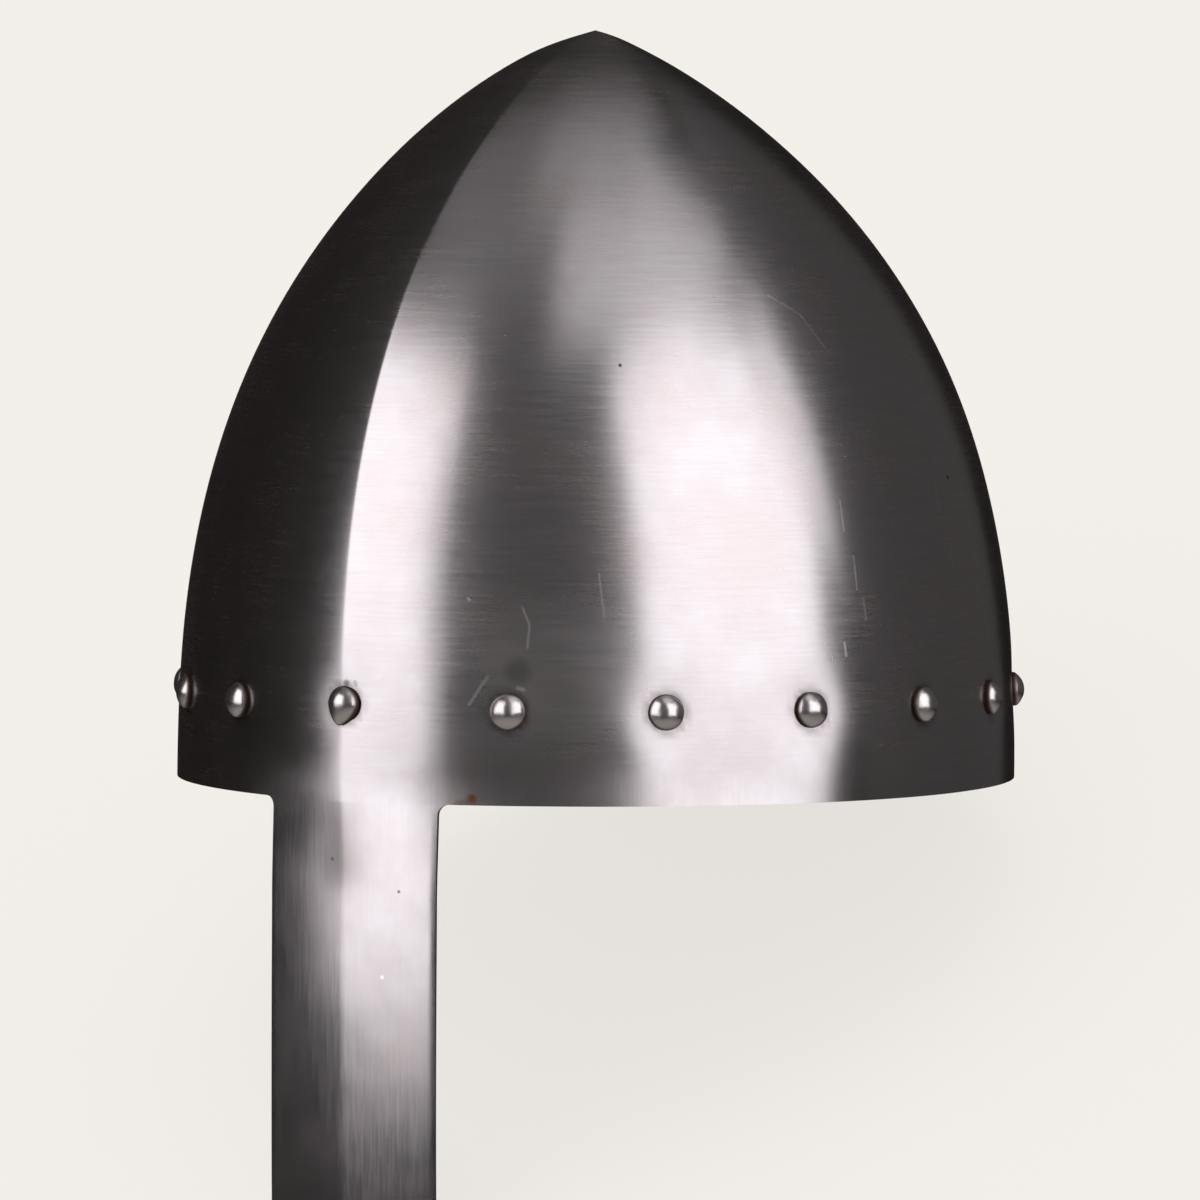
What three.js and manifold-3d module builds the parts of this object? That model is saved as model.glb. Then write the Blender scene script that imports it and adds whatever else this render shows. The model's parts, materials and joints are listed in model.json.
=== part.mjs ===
import * as THREE from "three";
import { mergeVertices } from "three/addons/utils/BufferGeometryUtils.js";
import Module from "manifold-3d";

// Nasal helmet: a pointed skull raised from one steel sheet, with a medial
// ridge at the front that runs on down the integral nasal, and a row of domed
// rivets set through the wall above the rim.
// Sizes are in millimetres. The helmet is drawn upright, with the rim in the
// plane Z = 0, the face at -Y and +X on the right of somebody who looks at the
// face. At the end it is tipped back on to the surface where it rests.

const SKULL_HEIGHT = 186;
const WALL_THICKNESS = 1.8;
// How far the skull reaches from its axis at the rim in each direction, and
// how each outline closes towards the point: fullness keeps the lower wall
// upright, and taper draws the top in.
const OUTLINES = {
  front: { reach: 113, fullness: 2.9, taper: 0.85 },
  side: { reach: 103, fullness: 2.3, taper: 0.69 },
  back: { reach: 115, fullness: 3.7, taper: 1.03 },
};
const POINT_LEAN = 4; // the point stands this far in front of the rim's axis
// The ridge comes from two front quarters that are struck from centres beyond
// the midline. The shift of those centres is a share of the half width.
const RIDGE = { shareAtRim: 0.17, shareAtPoint: 0.28 };

const NASAL = { halfWidth: 23.2, length: 110, notchRadius: 2.5, endRadius: 3 };

// Heights above the rim, gaps along the wall, and how many rivets stand at the
// side gap on each half before those that share the back
const RIVET_ROW = { height: 22, ridgeHeight: 23, firstGap: 40.2, sideGap: 37.4, sideCount: 6, backCount: 5 };
const RIVET = {
  headRadius: 4.35,
  headHeight: 2.6,
  shankRadius: 2.1,
  peenRadius: 3.5,
  peenHeight: 1.5,
  sides: 10,
};
// From the wall outwards, and from the wall inwards, as shares of radius and height
const HEAD_OUTLINE = [
  { radius: 1, height: 0.2 },
  { radius: 0.82, height: 0.65 },
  { radius: 0.45, height: 0.93 },
  { radius: 0, height: 1 },
];
const PEEN_OUTLINE = [
  { radius: 1, height: 0.4 },
  { radius: 0.6, height: 0.9 },
  { radius: 0, height: 1 },
];
const RIVET_HOLE = { radius: 2.5, sides: 12 };
const CLEARANCE = 0.3; // between a rivet and the wall all round

// Rows lie closer together towards the point, by the power rowBias
const GRID = { rows: 18, rowBias: 1.5, nasalColumns: 3, frontColumns: 11, backColumns: 13, nasalRows: 7 };
const ARC_STEPS = 3; // facets in each notch and end corner of the nasal
const GIRTH_SAMPLES = 600;
const SMALL_STEP = 1e-4; // share of a quarter, and of the height, for surface slopes

const STEEL = { color: 0x8f8a88, roughness: 0.38, metalness: 1 };
const RIVET_STEEL = { color: 0xa19c9a, roughness: 0.3, metalness: 1 };

const wasm = await Module();
wasm.setup();

// The skull's outer surface

function reachAt(outline, height) {
  return outline.reach * (1 - (height / SKULL_HEIGHT) ** outline.fullness) ** outline.taper;
}

function ridgeShift(height) {
  const share = THREE.MathUtils.lerp(RIDGE.shareAtRim, RIDGE.shareAtPoint, height / SKULL_HEIGHT);
  return share * reachAt(OUTLINES.side, height);
}

// A place round the skull: side is +1 or -1 for +X or -X, and turn goes from 0
// at the ridge through 1 at the side to 2 at the back.
function outerPoint({ side, turn }, height) {
  const width = reachAt(OUTLINES.side, height);
  const lean = -POINT_LEAN * (height / SKULL_HEIGHT) ** 2;
  if (turn > 1) {
    const angle = (2 - turn) * (Math.PI / 2);
    const back = reachAt(OUTLINES.back, height);
    return new THREE.Vector3(side * width * Math.sin(angle), lean + back * Math.cos(angle), height);
  }
  const shift = ridgeShift(height);
  const start = width > 0 ? Math.asin(shift / (width + shift)) : 0;
  const angle = THREE.MathUtils.lerp(start, Math.PI / 2, turn);
  const front = (reachAt(OUTLINES.front, height) * Math.cos(angle)) / Math.cos(start);
  return new THREE.Vector3(side * ((width + shift) * Math.sin(angle) - shift), lean - front, height);
}

// The way out of the wall. At the ridge and the back line, where the two
// halves meet, it lies in the middle plane and is lengthened so that a wall
// set in along it keeps its thickness on both sides.
function outward(place, height) {
  const turn = THREE.MathUtils.clamp(place.turn, SMALL_STEP, 2 - SMALL_STEP);
  const here = { side: place.side, turn };
  const along = outerPoint({ side: place.side, turn: turn + SMALL_STEP / 2 }, height)
    .sub(outerPoint({ side: place.side, turn: turn - SMALL_STEP / 2 }, height));
  const low = Math.max(height - SMALL_STEP * SKULL_HEIGHT, 0);
  const up = outerPoint(here, height + SMALL_STEP * SKULL_HEIGHT).sub(outerPoint(here, low));
  const normal = along.cross(up).multiplyScalar(place.side).normalize();
  if (turn === place.turn) return normal;
  const middle = new THREE.Vector3(0, normal.y, normal.z).normalize();
  return middle.divideScalar(middle.dot(normal));
}

// A point of the wall at a depth inside its surface. The rim is cut flat.
function wallPoint(place, height, depth) {
  const point = outerPoint(place, height).addScaledVector(outward(place, height), -depth);
  return height === 0 ? point.setZ(0) : point;
}

function rowHeight(row) {
  return SKULL_HEIGHT * (1 - (1 - row / GRID.rows) ** GRID.rowBias);
}

// Where the walls set in by a depth meet under the point.
function apexPoint(depth) {
  const top = rowHeight(GRID.rows - 1);
  const slope = Math.atan2(SKULL_HEIGHT - top, reachAt(OUTLINES.side, top));
  return new THREE.Vector3(0, -POINT_LEAN, SKULL_HEIGHT - depth / Math.cos(slope));
}

// The nasal

// Half the nasal's width at a height below the rim. It flares into the rim
// with the notch radius and closes on the end with the corner radius.
function nasalHalfWidth(height) {
  const { halfWidth, length, notchRadius, endRadius } = NASAL;
  const belowNotch = notchRadius + height;
  if (belowNotch > 0) return halfWidth + notchRadius - Math.sqrt(notchRadius ** 2 - belowNotch ** 2);
  const intoCorner = -length + endRadius - height;
  if (intoCorner > 0) return halfWidth - endRadius + Math.sqrt(endRadius ** 2 - intoCorner ** 2);
  return halfWidth;
}

// The place on the rim that lies a distance from the middle plane.
function placeAtWidth(side, distance) {
  const shift = ridgeShift(0);
  const radius = OUTLINES.side.reach + shift;
  const start = Math.asin(shift / radius);
  return { side, turn: (Math.asin((distance + shift) / radius) - start) / (Math.PI / 2 - start) };
}

function nasalPoint({ side, share }, height, depth) {
  const place = placeAtWidth(side, share * nasalHalfWidth(height));
  return wallPoint(place, 0, depth).setZ(height);
}

function nasalHeights() {
  const { length, notchRadius, endRadius } = NASAL;
  const intoArc = [];
  for (let i = 0; i <= ARC_STEPS; i++) intoArc.push(1 - Math.cos(((i / ARC_STEPS) * Math.PI) / 2));
  const notch = intoArc.map((share) => -share * notchRadius);
  const end = intoArc.map((share) => -length + share * endRadius).reverse();
  const between = [];
  for (let i = 1; i < GRID.nasalRows; i++) {
    between.push(THREE.MathUtils.lerp(notch.at(-1), end[0], i / GRID.nasalRows));
  }
  return [...notch, ...between, ...end];
}

// The closed sheet, from triangles whose shared corners are merged afterwards

class Shell {
  constructor() {
    this.corners = [];
  }

  triangle(a, b, c) {
    this.corners.push(...a.toArray(), ...b.toArray(), ...c.toArray());
  }

  quad(a, b, c, d) {
    this.triangle(a, b, c);
    this.triangle(a, c, d);
  }

  solid() {
    const geometry = new THREE.BufferGeometry();
    geometry.setAttribute("position", new THREE.Float32BufferAttribute(this.corners, 3));
    return toSolid(geometry);
  }
}

function nasalPlaces() {
  const places = [];
  for (let i = -GRID.nasalColumns; i <= GRID.nasalColumns; i++) {
    places.push({ side: i < 0 ? -1 : 1, share: Math.abs(i) / GRID.nasalColumns });
  }
  return places;
}

// Places all round the skull: across the nasal from its -X edge to its +X
// edge, and then round the back.
function skullPlaces() {
  const onNasal = nasalPlaces().map(({ side, share }) => placeAtWidth(side, share * nasalHalfWidth(0)));
  const edge = onNasal.at(-1).turn;
  const half = [];
  for (let i = 1; i <= GRID.frontColumns; i++) {
    half.push(THREE.MathUtils.lerp(edge, 1, i / GRID.frontColumns));
  }
  for (let i = 1; i < GRID.backColumns; i++) half.push(1 + i / GRID.backColumns);
  const right = half.map((turn) => ({ side: 1, turn }));
  const left = half.map((turn) => ({ side: -1, turn })).reverse();
  return { places: [...onNasal, ...right, { side: 1, turn: 2 }, ...left], nasalCount: onNasal.length };
}

function addWall(shell, depth, facing) {
  const { places } = skullPlaces();
  const quad = facing > 0 ? (a, b, c, d) => shell.quad(a, b, c, d) : (a, b, c, d) => shell.quad(a, d, c, b);
  const apex = apexPoint(depth);
  places.forEach((place, i) => {
    const next = places[(i + 1) % places.length];
    for (let row = 0; row < GRID.rows - 1; row++) {
      const [low, high] = [rowHeight(row), rowHeight(row + 1)];
      quad(wallPoint(place, low, depth), wallPoint(next, low, depth),
        wallPoint(next, high, depth), wallPoint(place, high, depth));
    }
    const top = rowHeight(GRID.rows - 1);
    const [a, b] = [wallPoint(place, top, depth), wallPoint(next, top, depth)];
    if (facing > 0) shell.triangle(a, b, apex);
    else shell.triangle(b, a, apex);
  });
}

function addNasal(shell, outerDepth, innerDepth) {
  const places = nasalPlaces();
  const heights = nasalHeights();
  const outer = (i, row) => nasalPoint(places[i], heights[row], outerDepth);
  const inner = (i, row) => nasalPoint(places[i], heights[row], innerDepth);
  const [last, end] = [places.length - 1, heights.length - 1];
  for (let row = 0; row < end; row++) {
    for (let i = 0; i < last; i++) {
      shell.quad(outer(i, row + 1), outer(i + 1, row + 1), outer(i + 1, row), outer(i, row));
      shell.quad(inner(i, row), inner(i + 1, row), inner(i + 1, row + 1), inner(i, row + 1));
    }
    shell.quad(outer(last, row), outer(last, row + 1), inner(last, row + 1), inner(last, row));
    shell.quad(inner(0, row), inner(0, row + 1), outer(0, row + 1), outer(0, row));
  }
  for (let i = 0; i < last; i++) {
    shell.quad(outer(i, end), inner(i, end), inner(i + 1, end), outer(i + 1, end));
  }
}

// The rim's cut edge, everywhere but across the nasal.
function addRim(shell, outerDepth, innerDepth) {
  const { places, nasalCount } = skullPlaces();
  for (let i = nasalCount - 1; i < places.length; i++) {
    const [here, next] = [places[i], places[(i + 1) % places.length]];
    shell.quad(wallPoint(here, 0, outerDepth), wallPoint(here, 0, innerDepth),
      wallPoint(next, 0, innerDepth), wallPoint(next, 0, outerDepth));
  }
}

function helmetShell(outerDepth, innerDepth) {
  const shell = new Shell();
  addWall(shell, outerDepth, 1);
  addWall(shell, innerDepth, -1);
  addRim(shell, outerDepth, innerDepth);
  addNasal(shell, outerDepth, innerDepth);
  return shell.solid();
}

// Solids that can be cut and joined

function toSolid(geometry) {
  const bare = geometry.clone();
  bare.deleteAttribute("normal");
  bare.deleteAttribute("uv");
  const merged = mergeVertices(bare);
  return new wasm.Manifold(new wasm.Mesh({
    numProp: 3,
    vertProperties: new Float32Array(merged.attributes.position.array),
    triVerts: new Uint32Array(merged.index.array),
  }));
}

function toGeometry(solid) {
  const mesh = solid.getMesh();
  const geometry = new THREE.BufferGeometry();
  geometry.setAttribute("position", new THREE.BufferAttribute(new Float32Array(mesh.vertProperties), 3));
  geometry.setIndex(new THREE.BufferAttribute(new Uint32Array(mesh.triVerts), 1));
  geometry.computeVertexNormals();
  return geometry;
}

// Rivets. Each is turned on its own axis Y, whose zero is the wall's outer
// surface, and then set into the wall.

function turned(profile, sides) {
  return new THREE.LatheGeometry(profile.map(([radius, along]) => new THREE.Vector2(radius, along)), sides);
}

function setIntoWall(geometry, place, height) {
  const turn = new THREE.Quaternion().setFromUnitVectors(
    new THREE.Vector3(0, 1, 0), outward(place, height).normalize());
  return geometry.applyQuaternion(turn).translate(...outerPoint(place, height).toArray());
}

function rivetHead() {
  const { headRadius, headHeight, sides } = RIVET;
  const skirt = -WALL_THICKNESS / 2;
  const dome = HEAD_OUTLINE.map(({ radius, height }) => [radius * headRadius, height * headHeight]);
  return turned([[0, skirt], [headRadius, skirt], ...dome], sides);
}

function rivetPeen() {
  const { peenRadius, peenHeight, sides } = RIVET;
  const skirt = -WALL_THICKNESS / 2;
  const dome = PEEN_OUTLINE.map(
    ({ radius, height }) => [radius * peenRadius, -WALL_THICKNESS - height * peenHeight]);
  return turned([...dome.reverse(), [peenRadius, skirt], [0, skirt]], sides);
}

function rivetShank() {
  const { shankRadius: radius, headHeight, peenHeight, sides } = RIVET;
  const [inner, outer] = [-WALL_THICKNESS - peenHeight / 2, headHeight / 2];
  return turned([[0, inner], [radius, inner], [radius, outer], [0, outer]], sides);
}

function rivetHole() {
  const { radius, sides } = RIVET_HOLE;
  const reach = 2 * WALL_THICKNESS;
  return turned([[0, -reach], [radius, -reach], [radius, reach], [0, reach]], sides);
}

// The place at a distance along the wall from the ridge, at one height.
function placeAtArc(side, distance, height) {
  let travelled = 0;
  let last = outerPoint({ side, turn: 0 }, height);
  for (let i = 1; i <= GIRTH_SAMPLES; i++) {
    const turn = (2 * i) / GIRTH_SAMPLES;
    const point = outerPoint({ side, turn }, height);
    const step = point.distanceTo(last);
    if (travelled + step >= distance) {
      return { side, turn: turn - (2 / GIRTH_SAMPLES) * (1 - (distance - travelled) / step) };
    }
    travelled += step;
    last = point;
  }
  return { side, turn: 2 };
}

function halfGirth(height) {
  let length = 0;
  for (let i = 1; i <= GIRTH_SAMPLES; i++) {
    length += outerPoint({ side: 1, turn: (2 * i) / GIRTH_SAMPLES }, height)
      .distanceTo(outerPoint({ side: 1, turn: (2 * (i - 1)) / GIRTH_SAMPLES }, height));
  }
  return length;
}

// One rivet on the ridge, pairs down both sides, and the rest shared evenly
// across the back, with one on the back line.
function rivetPlaces() {
  const { height, ridgeHeight, firstGap, sideGap, sideCount, backCount } = RIVET_ROW;
  const arcs = [];
  for (let i = 0; i < sideCount; i++) arcs.push(firstGap + i * sideGap);
  const backGap = (2 * (halfGirth(height) - arcs.at(-1))) / (backCount + 1);
  for (let i = 1; i <= (backCount - 1) / 2; i++) arcs.push(arcs[sideCount - 1] + i * backGap);
  const pairs = arcs.flatMap((arc, i) => [[1, "right"], [-1, "left"]].map(([side, word]) => (
    { name: `rivet_${word}_${i + 1}`, place: placeAtArc(side, arc, height), height })));
  return [
    { name: "rivet_ridge", place: { side: 1, turn: 0 }, height: ridgeHeight },
    ...pairs,
    { name: "rivet_back", place: { side: 1, turn: 2 }, height },
  ];
}

function rivetSolid({ place, height }, wallToClear) {
  const part = (geometry) => toSolid(setIntoWall(geometry, place, height));
  return part(rivetHead()).add(part(rivetPeen())).subtract(wallToClear).add(part(rivetShank()));
}

// The helmet, upright

function named(name, solid, finish) {
  const mesh = new THREE.Mesh(toGeometry(solid), new THREE.MeshStandardMaterial(finish));
  mesh.name = name;
  return mesh;
}

function uprightHelmet() {
  const upright = new THREE.Group();
  const rivets = rivetPlaces();
  let skull = helmetShell(0, WALL_THICKNESS);
  for (const { place, height } of rivets) {
    skull = skull.subtract(toSolid(setIntoWall(rivetHole(), place, height)));
  }
  upright.add(named("skull_and_nasal", skull, STEEL));

  const wallToClear = helmetShell(-CLEARANCE, WALL_THICKNESS + CLEARANCE);
  for (const rivet of rivets) upright.add(named(rivet.name, rivetSolid(rivet, wallToClear), RIVET_STEEL));
  return upright;
}

// At rest the helmet leans back on the two lower corners of the nasal's inner
// face and on the outer edge of the rim at the back.
function restTilt() {
  const corner = nasalPoint({ side: 1, share: 1 }, -NASAL.length, WALL_THICKNESS);
  return Math.atan2(NASAL.length, OUTLINES.back.reach - corner.y);
}

function restingHelmet() {
  const upright = uprightHelmet();
  upright.rotation.x = -restTilt();
  const helmet = new THREE.Group();
  helmet.add(upright);
  helmet.updateMatrixWorld(true);
  const box = new THREE.Box3().setFromObject(helmet, true);
  const middle = box.getCenter(new THREE.Vector3());
  upright.position.set(0, -middle.y, -box.min.z);
  return helmet;
}

export default restingHelmet();
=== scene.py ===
"""Looks of the nasal helmet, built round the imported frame.

The helmet is one raised steel sheet, whose front ridge runs on down the nasal, and a row of
domed rivets set through the wall above the rim. Forms are worked out in millimetres on the
upright helmet: rim at height 0, face at -Y, and +X on the right of somebody who looks at the
face. Stance carries them into the frame's metres.
"""

import json
import logging
import math
import random
from collections.abc import Callable
from dataclasses import dataclass

import bpy
from mathutils import Matrix, Vector, noise


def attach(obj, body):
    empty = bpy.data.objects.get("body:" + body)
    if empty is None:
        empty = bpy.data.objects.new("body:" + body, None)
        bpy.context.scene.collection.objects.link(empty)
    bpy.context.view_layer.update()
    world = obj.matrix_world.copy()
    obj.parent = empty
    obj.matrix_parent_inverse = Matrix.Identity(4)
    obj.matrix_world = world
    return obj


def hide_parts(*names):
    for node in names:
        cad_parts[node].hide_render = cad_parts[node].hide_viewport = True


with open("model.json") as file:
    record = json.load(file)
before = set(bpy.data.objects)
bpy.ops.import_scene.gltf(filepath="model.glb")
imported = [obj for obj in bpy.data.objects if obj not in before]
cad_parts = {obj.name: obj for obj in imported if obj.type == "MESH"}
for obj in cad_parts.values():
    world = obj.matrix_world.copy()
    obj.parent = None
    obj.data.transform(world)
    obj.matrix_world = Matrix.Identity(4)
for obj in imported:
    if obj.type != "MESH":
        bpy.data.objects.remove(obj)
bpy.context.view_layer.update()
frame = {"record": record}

LOG = logging.getLogger("nasal_helmet")
MM = 0.001
NEAR = 1e-6  # metres within which two places count as one
BODY = "root"
SHEET_NODE = "skull_and_nasal"
RIDGE_RIVET = "rivet_ridge"
LIGHT_COLOUR = "#fff9fb"
PIT = "#4a4340"
RUST = "#b87850"
FAINT_RUST = "#a0806c"


# Small helpers


def linear(colour: str) -> tuple[float, float, float, float]:
    """Turns an sRGB hex colour into the linear one that shaders take.

    Args:
        colour: Six hex digits after a hash sign.

    Returns:
        Linear red, green and blue, and an alpha of 1.
    """
    parts = [int(colour[i : i + 2], 16) / 255 for i in (1, 3, 5)]
    red, green, blue = (
        c / 12.92 if c <= 0.04045 else ((c + 0.055) / 1.055) ** 2.4 for c in parts
    )
    return red, green, blue, 1.0


def mix(low: float, high: float, share: float) -> float:
    """Returns the value at a share of the way from low to high."""
    return low + (high - low) * share


def bump(distance: float, width: float) -> float:
    """Returns a soft hump: 1 at no distance, falling off over the width."""
    return math.exp(-((distance / width) ** 2))


def paced(length: float, step: Callable[[float], float]) -> list[float]:
    """Walks a length in steps that vary on the way, and ends exactly on it.

    Args:
        length: How far to walk.
        step: The length of the next step at a distance.

    Returns:
        An odd count of distances from 0 to the length, so an even count of steps.
    """
    walked = [0.0]
    while walked[-1] < length or len(walked) % 2 == 0:
        walked.append(walked[-1] + step(walked[-1]))
    return [distance * length / walked[-1] for distance in walked]


def deselect() -> None:
    """Leaves object mode with nothing selected."""
    if bpy.context.object and bpy.context.object.mode != "OBJECT":
        bpy.ops.object.mode_set(mode="OBJECT")
    bpy.ops.object.select_all(action="DESELECT")


def make_active(piece: bpy.types.Object) -> None:
    """Selects one piece alone and makes it the active one.

    Args:
        piece: The piece to work on next.
    """
    deselect()
    piece.select_set(True)
    bpy.context.view_layer.objects.active = piece


def pick(piece: bpy.types.Object, wanted: Callable[[Vector], bool]) -> None:
    """Goes into edit mode with only some corners selected.

    Args:
        piece: The piece to edit.
        wanted: Whether a corner is selected, by its place.
    """
    make_active(piece)
    bpy.ops.object.mode_set(mode="EDIT")
    bpy.ops.mesh.select_mode(type="VERT")
    bpy.ops.mesh.select_all(action="DESELECT")
    bpy.ops.object.mode_set(mode="OBJECT")
    for corner in piece.data.vertices:
        corner.select = wanted(corner.co)
    bpy.ops.object.mode_set(mode="EDIT")


def finish_with(piece: bpy.types.Object, kind: str, **settings: object) -> None:
    """Adds a modifier to a piece and applies it.

    Args:
        piece: The piece to change.
        kind: The modifier's type.
        settings: The modifier's own settings.
    """
    make_active(piece)
    modifier = piece.modifiers.new(kind.title(), kind)
    for name, value in settings.items():
        setattr(modifier, name, value)
    bpy.ops.object.modifier_apply(modifier=modifier.name)


def add_node(
    tree: bpy.types.NodeTree,
    kind: str,
    settings: dict[str | int, object] | None = None,
    links: dict[str | int, bpy.types.NodeSocket] | None = None,
) -> bpy.types.Node:
    """Adds one node with its settings and links.

    Args:
        tree: The node tree to add to.
        kind: The node's type.
        settings: Values by input name or number, or by the node's own setting.
        links: Output sockets by the input name or number they feed.

    Returns:
        The new node.
    """
    node = tree.nodes.new(kind)
    own = {k: v for k, v in (settings or {}).items() if isinstance(k, str) and hasattr(node, k)}
    for name, value in own.items():
        setattr(node, name, value)
    for name, value in (settings or {}).items():
        if name not in own:
            node.inputs[name].default_value = value
    for name, source in (links or {}).items():
        tree.links.new(source, node.inputs[name])
    return node


def bare_material(name: str) -> tuple[bpy.types.Material, bpy.types.NodeTree]:
    """Makes a material without nodes.

    Args:
        name: The material's name.

    Returns:
        The material and its empty node tree.
    """
    made = bpy.data.materials.new(name)
    made.use_nodes = True
    made.node_tree.nodes.clear()
    return made, made.node_tree


def placed(name: str, data: bpy.types.ID, where: Matrix) -> bpy.types.Object:
    """Puts a lamp or a camera in the scene.

    Args:
        name: Its name.
        data: What it is.
        where: Its place. It shines or looks against its own Z.

    Returns:
        The new object.
    """
    made = bpy.data.objects.new(name, data)
    bpy.context.scene.collection.objects.link(made)
    made.matrix_world = where
    return made


# The helmet's form


@dataclass(frozen=True)
class Place:
    """A place round the skull.

    side is +1 or -1 for +X or -X, and turn goes from 0 at the ridge through 1 at the side to 2
    at the back.
    """

    side: int
    turn: float


@dataclass(frozen=True)
class Outline:
    """How the skull closes in one direction, from its reach at the rim to the point.

    A higher fullness keeps the wall upright for longer, and a higher taper makes the top leaner.
    """

    reach: float
    fullness: float
    taper: float


@dataclass(frozen=True)
class SkullForm:
    """The outer surface of the skull, in millimetres on the upright helmet."""

    height: float = 186.0
    wall: float = 1.8
    front: Outline = Outline(113.0, 2.9, 0.85)
    side: Outline = Outline(103.0, 2.3, 0.69)
    back: Outline = Outline(115.0, 3.7, 1.03)
    point_lean: float = 4.0  # how far forward of the middle the point is
    ridge_at_rim: float = 0.17  # share of the half width that the front quarters are struck past
    ridge_at_point: float = 0.28
    ridge_round: float = 0.5
    girth_samples: int = 600
    point_spread: float = 3.9  # how far the cone at the top opens, per millimetre down
    point_sharpness: float = 6.0

    def sharpening(self, height: float) -> float:
        """Draws the top in to a cone.

        Args:
            height: The height above the rim.

        Returns:
            The share of its reach that the wall keeps there.
        """
        below = self.height - height
        if below <= 0:
            return 1.0
        closed = (height / self.height) ** self.side.fullness
        full = self.side.reach * (1 - closed) ** self.side.taper
        return (1 + (full / (self.point_spread * below)) ** self.point_sharpness) ** (
            -1 / self.point_sharpness
        )

    def reach(self, outline: Outline, height: float) -> float:
        """Follows an outline upwards.

        Args:
            outline: The direction's outline.
            height: The height above the rim.

        Returns:
            How far it stands from the axis there.
        """
        held = min(max(height, 0.0), self.height)
        closed = (held / self.height) ** outline.fullness
        return outline.reach * (1 - closed) ** outline.taper * self.sharpening(held)

    def ridge_shift(self, height: float) -> float:
        """Returns how far past the midline the front quarters are struck."""
        share = mix(self.ridge_at_rim, self.ridge_at_point, height / self.height)
        return share * self.reach(self.side, height)

    def point(self, place: Place, height: float) -> Vector:
        """Finds a point of the outer surface.

        Args:
            place: Where it is round the skull.
            height: Its height above the rim.

        Returns:
            The point.
        """
        width = self.reach(self.side, height)
        lean = -self.point_lean * (height / self.height) ** 2
        if place.turn > 1:
            angle = (2 - place.turn) * math.pi / 2
            depth = self.reach(self.back, height)
            across = place.side * width * math.sin(angle)
            return Vector((across, lean + depth * math.cos(angle), height))
        if width <= 0:
            return Vector((0, lean, height))
        shift = self.ridge_shift(height)
        start = math.asin(shift / (width + shift))
        angle = mix(start, math.pi / 2, place.turn)
        depth = self.reach(self.front, height)
        across = (width + shift) * math.sin(angle) - shift
        forward = depth * math.cos(angle) / math.cos(start)
        slope = depth * math.tan(start) / ((width + shift) * math.cos(start))
        rounding = min(self.ridge_round, width / 4)
        blunt = slope * (math.hypot(across, rounding) - across)
        return Vector((place.side * across, lean - forward + blunt, height))

    def outward(self, place: Place, height: float) -> Vector:
        """Finds the way out of the wall, which lies in the middle plane at ridge and back.

        Args:
            place: Where it is round the skull.
            height: Its height above the rim.

        Returns:
            The direction, of length 1.
        """
        step = 1e-3
        turn = min(max(place.turn, step), 2 - step)
        ahead = self.point(Place(place.side, turn + step / 2), height)
        behind = self.point(Place(place.side, turn - step / 2), height)
        top = self.point(Place(place.side, turn), height + step * self.height)
        low = self.point(Place(place.side, turn), max(height - step * self.height, 0.0))
        normal = (ahead - behind).cross(top - low) * place.side
        if turn != place.turn:
            normal.x = 0
        return normal.normalized()

    def place_at_width(self, side: int, distance: float) -> Place:
        """Finds a place on the front half of the rim.

        Args:
            side: +1 or -1 for +X or -X.
            distance: How far the place lies from the middle plane.

        Returns:
            The place.
        """
        shift = self.ridge_shift(0)
        radius = self.side.reach + shift
        start = math.asin(shift / radius)
        angle = math.asin((distance + shift) / radius)
        return Place(side, (angle - start) / (math.pi / 2 - start))

    def arcs(self, height: float) -> list[float]:
        """Measures along the wall.

        Args:
            height: The height above the rim.

        Returns:
            The distances from the ridge to evenly spaced turns.
        """
        travelled = [0.0]
        last = self.point(Place(1, 0), height)
        for i in range(1, self.girth_samples + 1):
            here = self.point(Place(1, 2 * i / self.girth_samples), height)
            travelled.append(travelled[-1] + (here - last).length)
            last = here
        return travelled

    def turn_at_arc(self, arcs: list[float], distance: float) -> float:
        """Finds the turn at a distance along the wall.

        Args:
            arcs: The distances from the ridge to evenly spaced turns.
            distance: The distance from the ridge.

        Returns:
            The turn.
        """
        for i in range(1, len(arcs)):
            if arcs[i] >= distance:
                share = (distance - arcs[i - 1]) / (arcs[i] - arcs[i - 1])
                return 2 * (i - 1 + share) / self.girth_samples
        return 2.0


@dataclass(frozen=True)
class Stance:
    """How the helmet stands in the frame: tipped back on to its nasal and the back of its rim."""

    form: SkullForm
    record: dict

    def matrix(self) -> Matrix:
        """Works out how the helmet is tipped.

        Returns:
            The move from the upright helmet, in metres, to the frame.
        """
        edge = next(m for m in self.record["mounts"] if m["name"] == "rim_edge")
        up = -Vector(edge["axis"])
        turn = Matrix.Rotation(-math.atan2(up.y, up.z), 4, "X")
        middle_of_edge = Vector((0, (self.form.back.reach - self.form.wall / 2) * MM, 0))
        return Matrix.Translation(Vector(edge["pos_m"]) - turn @ middle_of_edge) @ turn


@dataclass(frozen=True)
class Seat:
    """Where one rivet stands: the node it replaces, its place and its height above the rim."""

    node: str
    place: Place
    height: float


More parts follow.
